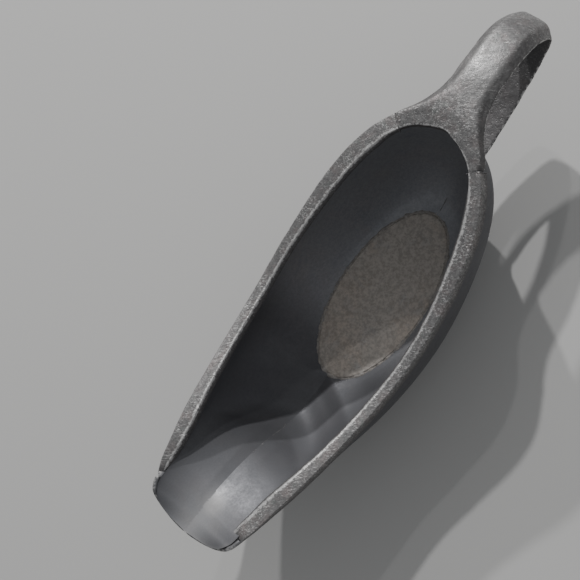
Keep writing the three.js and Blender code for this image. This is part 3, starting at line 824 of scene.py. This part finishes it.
strap = {
    "width": 16.8,
    "thickness": 4.2,
    "bevel": 3.5,
    "edge": 0.5,
    "neck": 24.0,
    "lean": -1.1,           # of the loop's far end, to the right
    "returnHeight": 26.0,
    "crown": 0.35,
    "steps": 260,
    "sink": 1.7,            # how far the return's end stands inside the wall
    "voxel": 0.32,          # the casting's rounding: even skin, then softened
    "softenings": 15,
    "glossBehind": 24.0,    # the rubbed facet with its painted highlight, behind the opening
    "glossLong": 7.5,
}
strapLine = [
    (0.113, 1), (0.268, 1.008), (0.443, 1), (0.65, 0.935), (0.8, 0.83), (0.897, 0.69),
    (0.969, 0.53), (1, 0.4), (0.979, 0.29), (0.907, 0.2), (0.753, 0.13), (0.567, 0.07),
    (0.361, 0.02), (0.128, 0), (-0.1, 0),
]
neckShare = smoothLine([(0, 1), (0.1, 0.84), (0.25, 0.55), (0.42, 0.3), (0.6, 0.13), (0.8, 0.03), (1, 0)])


def strapRings():
    rise = boat["backHeight"] - strap["returnHeight"]
    path = [(backX + ahead, 0, float(sheerLine(along(backX + ahead)))) for ahead in (12, 8, 4, 0)]
    path += [(backX - reach * b, 0, strap["returnHeight"] + rise * up) for b, up in strapLine]
    line, length = curveThrough(path)
    stern = outerGrid[0]
    sternX = np.interp(strap["returnHeight"] + 2, stern[:, 2], stern[:, 0])
    far = np.linspace(0, length, 2000)
    last = far[np.argmax((far > length * 0.6) & (line(far)[:, 0] > sternX + strap["sink"]))]
    distance = np.linspace(0, last, strap["steps"] + 1)
    outer = line(distance)
    tangent = unit(line(np.minimum(distance + 0.5, length)) - line(np.maximum(distance - 0.5, 0)))
    joint = rimAt(rim["joint"])["outer"]
    behind = np.maximum((joint[0] - outer[:, 0]) / strap["neck"], 0)
    onRoot = distance < length * 0.4
    neck = np.where(onRoot, neckShare(np.minimum(behind, 1)), 0)
    half = mixed(strap["width"] / 2, joint[1] + rim["flare"], neck)
    lean = strap["lean"] * np.clip((backX - outer[:, 0]) / reach, 0, 1)
    inward = np.cross(tangent, [0, 1, 0])
    down = np.where(onRoot, eased(1 - behind, 0, 0.6), 0)[:, None]
    inward = unit(mixed(inward, np.array([0, 0, -1.0]), down))
    thick = mixed(strap["thickness"], rim["thickness"], neck)
    bevel = mixed(strap["bevel"], rim["flare"], neck)
    crown = strap["crown"] * (1 - neck)

    def at(y, depth):
        points = outer + inward * depth[:, None]
        points[:, 1] = y + lean
        return points

    corners = {}
    for sign in (-1, 1):
        cut = rim["leftCut"] * neck ** 3 if sign > 0 else 0 * neck
        low, high = half - cut / 2, half - bevel - cut
        corners[sign] = [
            at(sign * (low - strap["edge"]), thick), at(sign * low, thick - strap["edge"]),
            at(sign * high, crown + 0.02), at(sign * high * 0.55, crown * 0.3),
        ]
    ring = corners[-1] + [at(0 * half, 0 * half)] + corners[1][::-1]
    ring += [at(half * 0.4, thick), at(-half * 0.4, thick)]
    return roundedSection(ring, [0.3, 0.3, 0.9, 2.0, 2.0, 2.0, 0.9, 0.3, 0.3, 1.0, 1.0], 3)


# a closed prism in millimetres, used to cut
def prism(name, outline, low, high):
    count = len(outline)
    verts = [(x, y, z) for z in (low, high) for x, y in outline]
    faces = [(i, (i + 1) % count, (i + 1) % count + count, i + count) for i in range(count)]
    faces += [tuple(range(count))[::-1], tuple(range(count, 2 * count))]
    return meshOf(name, verts, faces, wornPewter)


def cutAway(piece, cutter):
    work = piece.modifiers.new("cut", "BOOLEAN")
    work.operation = "DIFFERENCE"
    work.object = cutter
    work.solver = "EXACT"
    settle(piece)
    bpy.data.objects.remove(cutter)


# makes the modifiers' result the piece's own mesh
def settle(piece):
    bpy.context.view_layer.update()
    done = bpy.data.meshes.new_from_object(piece.evaluated_get(bpy.context.evaluated_depsgraph_get()))
    piece.modifiers.clear()
    piece.data = done


def loopHandle():
    rings = strapRings()
    size = rings.shape[1]
    faces = ringFaces(len(rings), size, capped=False)
    faces += [tuple(range(size)), tuple(range((len(rings) - 1) * size, len(rings) * size))]
    piece = meshOf("loopHandle", rings.reshape(-1, 3), faces, wornPewter)
    inside = opening(np.linspace(0, openingLength, 241)[:-1])
    cutAway(piece, prism("openingCut", inside, 20, 90))
    joint = rimAt(rim["joint"] + boat["joint"] / 2 + 0.3)
    for side in (1, -1):
        t, o, p = [joint[key] * [1, side] for key in ("tangent", "out", "inner")]
        corners = [p - o * 12, p - o * 12 + t * 60, p + o * 30 + t * 60, p + o * 30]
        cutAway(piece, prism("jointCut", corners if side < 0 else corners[::-1], 20, 90))
    remesh = piece.modifiers.new("even", "REMESH")
    remesh.mode = "VOXEL"
    remesh.voxel_size = strap["voxel"] * mm
    soften = piece.modifiers.new("soften", "SMOOTH")
    soften.factor = 0.5
    soften.iterations = strap["softenings"]
    settle(piece)
    piece.data.polygons.foreach_set("use_smooth", [True] * len(piece.data.polygons))
    unevenness(piece, 4.5, 0.13, seed=5.0)
    unevenness(piece, 1.6, 0.02, seed=9.0)
    return piece


handle = loopHandle()
handle.data.materials.clear()
handle.data.materials.append(wornPewter)
handleCo, handleN = coords(handle) / mm, normals(handle)
outline = opening(np.linspace(0, openingLength, 400))
toOpening = np.array([np.hypot(*(outline - c[:2]).T).min() for c in handleCo])
# worn edges, and the painted highlight along the inner arris beside the opening
innerArris = (1 - eased(toOpening, 0.35, 0.9)) * (handleCo[:, 2] > 56) * eased(handleN[:, 2], 0.1, 0.5)
setMask(handle, "edge", np.maximum(bendMask(handle, 0.3) * 0.55, innerArris))
# painted shade: all of the handle except its top face and the far end, which faces the lamps
topFace = eased(handleN[:, 2], 0.55, 0.9) * eased(handleCo[:, 2], 50, 58)
farEnd = eased(-handleCo[:, 0], 92, 106) * (handleN[:, 0] < 0) * 0.9
setMask(handle, "shade", 1 - np.maximum(topFace, farEnd))
# the rubbed facet on the top, painted lighter as its highlight
gloss = np.exp(-((handleCo[:, 0] - (backX - strap["glossBehind"])) / strap["glossLong"]) ** 2)
setMask(handle, "rubAndSheen", gloss * topFace)
print("handle ready,", len(handle.data.polygons), "faces")

# floor and foot

floorPlate = {"rings": 40, "around": 160, "sag": 0.25}


def floorPiece():
    turns = np.linspace(0, 2 * math.pi, floorPlate["around"], endpoint=False)
    grow = boat["joint"] * 0.55     # under the solder
    top = np.array([np.column_stack([
        floorMiddle + (floorHalf[0] + grow) * share * np.cos(turns),
        (floorHalf[1] + grow) * share * np.sin(turns),
        np.full(len(turns), floorTop - floorPlate["sag"] * (1 - share ** 2))])
        for share in np.linspace(0.0, 1, floorPlate["rings"])[1:]])
    bottom = top[::-1].copy()
    bottom[..., 2] = floorBottom
    rings = np.concatenate([top, bottom])
    count = len(turns)
    faces = ringFaces(len(rings), count, capped=False)
    faces += [tuple(range(count)), tuple(range((len(rings) - 1) * count, len(rings) * count))]
    piece = meshOf("floorPlate", rings.reshape(-1, 3), faces, grainyPewter)
    unevenness(piece, 6.0, 0.12, seed=3.0)
    return piece


floor = floorPiece()

# Geometry Nodes

def nodeTree(name, inputs):
    tree = bpy.data.node_groups.new(name, "GeometryNodeTree")
    tree.interface.new_socket("Geometry", in_out="INPUT", socket_type="NodeSocketGeometry")
    for label, kind, value in inputs:
        made = tree.interface.new_socket(label, in_out="INPUT", socket_type=kind)
        if value is not None:
            made.default_value = value
    tree.interface.new_socket("Geometry", in_out="OUTPUT", socket_type="NodeSocketGeometry")
    return tree, tree.nodes.new("NodeGroupInput"), tree.nodes.new("NodeGroupOutput")


def builtBy(tree, carrier, values, name):
    work = carrier.modifiers.new("build", "NODES")
    work.node_group = tree
    for item in tree.interface.items_tree:
        if item.item_type == "SOCKET" and item.in_out == "INPUT" and item.name in values:
            work[item.identifier] = values[item.name]
    bpy.context.view_layer.update()
    mesh = bpy.data.meshes.new_from_object(carrier.evaluated_get(bpy.context.evaluated_depsgraph_get()))
    piece = bpy.data.objects.new(name, mesh)
    scene.collection.objects.link(piece)
    bpy.data.objects.remove(carrier)
    return piece


# ends a tree: the real mesh, smooth and in its metal
def inMetal(tree, geometry, metal, target):
    real = put(tree, "GeometryNodeRealizeInstances", _Geometry=geometry)
    smooth = put(tree, "GeometryNodeSetShadeSmooth", _Geometry=real.outputs[0])
    paint = put(tree, "GeometryNodeSetMaterial", _Geometry=smooth.outputs[0], _Material=metal)
    tree.links.new(paint.outputs[0], target.inputs[0])
    return tree


# a vector drawn around zero, times a size
def aroundZero(tree, value, size):
    centred = put(tree, "ShaderNodeVectorMath", operation="SUBTRACT", _0=value, _1=(0.5, 0.5, 0.5))
    return put(tree, "ShaderNodeVectorMath", operation="SCALE", _0=centred.outputs[0], _Scale=size).outputs[0]


# a run of solder along a curve: an uneven bead with drops on it
def solderRunTree():
    tree, source, target = nodeTree("solderRun", [
        ("Radius", number, 0.0005), ("Step", number, 0.0006), ("Wander", number, 0.0002),
        ("Drops", "NodeSocketInt", 60), ("Drop size", number, 0.0003), ("Seed", "NodeSocketInt", 1),
        ("Material", "NodeSocketMaterial", None)])
    give = source.outputs
    fine = put(tree, "GeometryNodeResampleCurve", mode="LENGTH", _Curve=give["Geometry"], _Length=give["Step"])
    place = put(tree, "GeometryNodeInputPosition")
    shake = put(tree, "ShaderNodeTexNoise", noise_dimensions="4D", _Vector=place.outputs[0],
                _W=maths(tree, "MULTIPLY", give["Seed"], 3.7), _Scale=420.0, _Detail=3.0)
    moved = put(tree, "GeometryNodeSetPosition", _Geometry=fine.outputs[0],
                _Offset=aroundZero(tree, shake.outputs["Color"], give["Wander"]))
    ring = put(tree, "GeometryNodeCurvePrimitiveCircle", _Resolution=8, _Radius=give["Radius"])
    size = put(tree, "ShaderNodeMapRange", _Value=shake.outputs[0], _From_Min=0.3, _From_Max=0.7,
               _To_Min=0.55, _To_Max=1.35)
    bead = put(tree, "GeometryNodeCurveToMesh", _Curve=moved.outputs[0], _Profile_Curve=ring.outputs[0],
               _Fill_Caps=True, _Scale=size.outputs[0])
    dots = put(tree, "GeometryNodeCurveToPoints", mode="COUNT", _Curve=give["Geometry"], _Count=give["Drops"])
    spread = put(tree, "FunctionNodeRandomValue", data_type="FLOAT_VECTOR", _Seed=give["Seed"])
    around = maths(tree, "MULTIPLY", give["Radius"], 2.2)
    scattered = put(tree, "GeometryNodeSetPosition", _Geometry=dots.outputs[0],
                    _Offset=aroundZero(tree, spread.outputs[0], around))
    ball = put(tree, "GeometryNodeMeshIcoSphere", _Subdivisions=2, _Radius=give["Drop size"])
    dropScale = put(tree, "FunctionNodeRandomValue", data_type="FLOAT", _Seed=give["Seed"])
    scaleLow, scaleHigh = [s for s in dropScale.inputs if s.enabled and s.name in ("Min", "Max")]
    scaleLow.default_value, scaleHigh.default_value = 0.3, 1.1
    drops = put(tree, "GeometryNodeInstanceOnPoints", _Points=scattered.outputs[0], _Instance=ball.outputs[0],
                _Scale=dropScale.outputs[1])
    join = put(tree, "GeometryNodeJoinGeometry")
    tree.links.new(bead.outputs[0], join.inputs[0])
    tree.links.new(drops.outputs[0], join.inputs[0])
    return inMetal(tree, join.outputs[0], give["Material"], target)


# a ring swept round an oval
def ovalRingTree():
    tree, source, target = nodeTree("ovalRing", [
        ("Half length", number, 0.035), ("Half width", number, 0.016), ("Steps", "NodeSocketInt", 200),
        ("Profile", "NodeSocketObject", None), ("Material", "NodeSocketMaterial", None)])
    give = source.outputs
    ring = put(tree, "GeometryNodeCurvePrimitiveCircle", _Radius=1.0, _Resolution=give["Steps"])
    size = put(tree, "ShaderNodeCombineXYZ", _X=give["Half length"], _Y=give["Half width"], _Z=1.0)
    oval = put(tree, "GeometryNodeTransform", _Geometry=ring.outputs[0], _Scale=size.outputs[0])
    info = put(tree, "GeometryNodeObjectInfo", _Object=give["Profile"])
    swept = put(tree, "GeometryNodeCurveToMesh", _Curve=oval.outputs[0],
                _Profile_Curve=info.outputs["Geometry"])
    middle = put(tree, "ShaderNodeCombineXYZ", _X=floorMiddle * mm, _Y=0.0, _Z=0.0)
    inPlace = put(tree, "GeometryNodeTransform", _Geometry=swept.outputs[0], _Translation=middle.outputs[0])
    return inMetal(tree, inPlace.outputs[0], give["Material"], target)


def curveObject(name, points, closed=False):
    data = bpy.data.curves.new(name, "CURVE")
    data.dimensions = "3D"
    line = data.splines.new("POLY")
    line.points.add(len(points) - 1)
    for point, (x, y, z) in zip(line.points, np.asarray(points) * mm):
        point.co = (x, y, z, 1)
    line.use_cyclic_u = closed
    made = bpy.data.objects.new(name, data)
    scene.collection.objects.link(made)
    return made


solderRun = solderRunTree()


# one run of solder; its sizes are given in millimetres
def solderPiece(name, points, values, closed=False, metal=solderMetal):
    settings = {"Wander": 0.35, "Drop size": 0.26, **values, "Material": metal}
    for label in ("Radius", "Wander", "Drop size"):
        settings[label] *= mm
    return builtBy(solderRun, curveObject(name + "Path", points, closed), settings, name)


foot = {
    "middle": 1.0,          # ring's middle line outside the floor's edge
    "halfWidth": 2.2,
    "height": footTop + 0.35,
    "round": 0.7,
}


def footPiece():
    w, h, r = foot["halfWidth"], foot["height"], foot["round"]
    places = ((-w, 0), (w, 0), (w * 0.82, -h * 0.55), (w * 0.9, -h), (-w, -h))
    corners = [np.array([[x, y, 0.0]]) for x, y in places]
    outline = roundedSection(corners, [r, r, 1.0, 0.3, 0.3], 5)[0]
    profile = curveObject("footProfile", outline, closed=True)
    halfLength, halfWidth = [(half + foot["middle"]) * mm for half in floorHalf]
    values = {"Half length": halfLength, "Half width": halfWidth, "Steps": 240, "Profile": profile,
              "Material": darkPewter}
    piece = builtBy(ovalRingTree(), curveObject("footPath", [(0, 0, 0), (1, 0, 0)]), values, "footRing")
    bpy.data.objects.remove(profile)
    work = bmesh.new()
    work.from_mesh(piece.data)
    bmesh.ops.remove_doubles(work, verts=work.verts, dist=1e-7)
    bmesh.ops.recalc_face_normals(work, faces=work.faces)
    work.to_mesh(piece.data)
    work.free()
    return piece


footRing = footPiece()
setMask(footRing, "edge", bendMask(footRing, 0.4) * 0.8)
print("foot ready")

# solder runs

solder = {
    "floor": {"Radius": 1.1, "Drops": 150, "Seed": 4},
    "keel": {"Radius": 0.32, "Wander": 0.5, "Drops": 120, "Seed": 7},
    "stern": {"Radius": 0.2, "Drops": 24, "Seed": 9},
    "lip": {"Radius": 0.22, "Drops": 24, "Seed": 12},
    "joint": {"Radius": 0.2, "Wander": 0.5, "Drop size": 0.16, "Drops": 14},
    "floorOut": 1.2,        # outside the floor's edge
    "below": {"floor": 1.0, "keel": 0.52, "stern": 0.45, "lip": 0.5},   # under the metal's face
}
below = solder["below"]
turns = np.linspace(0, 2 * math.pi, 240, endpoint=False)
crease = np.column_stack([
    floorMiddle + (floorHalf[0] + solder["floorOut"]) * np.cos(turns),
    (floorHalf[1] + solder["floorOut"]) * np.sin(turns), np.full(len(turns), floorTop - below["floor"])])
floorSolder = solderPiece("floorSolder", crease, solder["floor"], closed=True, metal=floorSolderMetal)
keelPoints = innerGrid[int(wallRows * walls["floorShare"]) + 1:wallRows, 0] - [0, 0, below["keel"]]
keelSolder = solderPiece("keelSolder", keelPoints, solder["keel"])
sternSolder = solderPiece("sternSolder", innerGrid[0, 2:-6] - [below["stern"], 0, 0], solder["stern"])
lipSolder = solderPiece("lipSolder", lipInner[0][12:-12] - [0, 0, below["lip"]], solder["lip"])


# across a rim joint, over the top and down the outside
def jointPiece(name, side, seed):
    j = rimAt(rim["joint"] + boat["joint"] / 2)
    cut = rim["leftCut"] * cutShare(j["u"]) if side > 0 else 0.0
    wide = j["width"]
    run = []
    for across, down in ((cut / 2 - rim["flare"], 3.6), (cut, 0.25), (cut + 0.6, -0.02), (wide * 0.55, -0.04),
                         (wide - 0.3, 0.02), (wide + 0.35, 0.8), (wide + 0.8, 2.4)):
        flat = j["outer"] - j["out"] * across
        run.append((flat[0], flat[1] * side, j["top"] - down - 0.12))
    line, length = curveThrough(run)
    return solderPiece(name, line(np.linspace(0, length, 50)), {**solder["joint"], "Seed": seed})


jointLeft = jointPiece("jointSolderLeft", 1, 21)
jointRight = jointPiece("jointSolderRight", -1, 23)


rootFillet = {
    # how far each ring stands outside the strap, and how far off the stern
    "rings": ((2.2, 0.02), (1.7, 0.3), (1.1, 0.75), (0.5, 1.5), (0.1, 2.6), (-0.6, 2.6), (-1.4, -0.6)),
    "around": 72,
}


# a fillet of solder where the strap meets the stern
def rootPiece():
    trees = [BVHTree.FromObject(wall, bpy.context.evaluated_depsgraph_get()) for wall in (wallLeft, wallRight)]

    def sternAt(y, z):
        start = Vector((backX - 30, y, z)) * mm
        hits = [tree.ray_cast(start, Vector((1, 0, 0)))[0] for tree in trees]
        return min(h.x for h in hits if h) / mm

    middleZ = strap["returnHeight"] + strap["thickness"] / 2
    rows = []
    for grow, off in rootFillet["rings"]:
        row = []
        for angle in np.linspace(0, 2 * math.pi, rootFillet["around"], endpoint=False):
            c, s = math.cos(angle), math.sin(angle)
            y = (strap["width"] / 2 + grow) * math.copysign(abs(c) ** 0.35, c)
            z = middleZ + (strap["thickness"] / 2 + grow) * math.copysign(abs(s) ** 0.6, s)
            row.append((sternAt(y, z) - off, y, z))
        rows.append(row)
    piece = lofted("rootSolder", rows, solderMetal)
    unevenness(piece, 2.2, 0.12, seed=14.0)
    return piece


rootSolder = rootPiece()
print("solder ready")

# which piece stands for which part of the frame

pieces = [
    (wallLeft, "body_wall_left", "dark_pewter"), (wallRight, "body_wall_right", "dark_pewter"),
    (lip, "spout_lip", "dark_pewter"), (bandLeft, "rim_band_left", "worn_pewter"),
    (bandRight, "rim_band_right", "worn_pewter"), (handle, "loop_handle", "worn_pewter"),
    (floor, "floor_plate", "grainy_pewter"), (footRing, "foot_ring", "dark_pewter"),
    (floorSolder, "floor_seam_solder", "solder"), (keelSolder, "keel_seam_solder", "solder"),
    (sternSolder, "stern_seam_solder", "solder"), (lipSolder, "lip_seam_solder", "solder"),
    (jointLeft, "rim_joint_solder_left", "solder"), (jointRight, "rim_joint_solder_right", "solder"),
    (rootSolder, "handle_root_solder", "solder"),
]
for piece, node, slotName in pieces:
    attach(piece, "root")
    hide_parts(node)

# table, light and camera

studio = {
    "floorColour": (0.5, 0.495, 0.485, 1),
    "key": {"from": (-0.576, -0.509, 0.639), "far": 1.4, "size": 0.035, "power": 10.5},
    "second": {"from": (-0.525, -0.672, 0.526), "far": 2.5, "size": 0.08, "power": 26.0},
    "third": {"from": (-0.59, -0.413, 0.69), "far": 1.5, "size": 0.03, "power": 1.8},
    "skyColour": (0.96, 0.98, 1.0, 1),
    "sky": 0.33,
    "lens": 74.48,
    "cameraAt": (-0.0270642, 0.1088811, 0.4459234),    # from the middle of the floor
    "cameraTurn": (5.5527, 17.7488, 125.7343),
}
bpy.ops.mesh.primitive_plane_add(size=6)
table = bpy.context.object
table.name = "table"
paper = bpy.data.materials.new("table")
paper.use_nodes = True
paperShader = paper.node_tree.nodes["Principled BSDF"]
paperShader.inputs["Base Color"].default_value = studio["floorColour"]
paperShader.inputs["Roughness"].default_value = 0.75
table.data.materials.append(paper)

world = bpy.data.worlds.new("room")
world.use_nodes = True
sky = world.node_tree.nodes["Background"]
sky.inputs["Color"].default_value = studio["skyColour"]
sky.inputs["Strength"].default_value = studio["sky"]
scene.world = world

for label in ("key", "second", "third"):
    lamp = studio[label]
    data = bpy.data.lights.new(label, "AREA")
    data.shape = "DISK"
    data.size = lamp["size"]
    data.energy = lamp["power"]
    light = bpy.data.objects.new(label, data)
    light.location = Vector(lamp["from"]).normalized() * lamp["far"]
    light.rotation_euler = light.location.to_track_quat("Z", "Y").to_euler()
    scene.collection.objects.link(light)

cameraData = bpy.data.cameras.new("camera")
cameraData.lens = studio["lens"]
cameraData.sensor_width = 36
camera = bpy.data.objects.new("camera", cameraData)
camera.location = Vector((floorMiddle * mm, 0, 0)) + Vector(studio["cameraAt"])
camera.rotation_euler = [math.radians(a) for a in studio["cameraTurn"]]
scene.collection.objects.link(camera)
scene.camera = camera

print("scene ready")
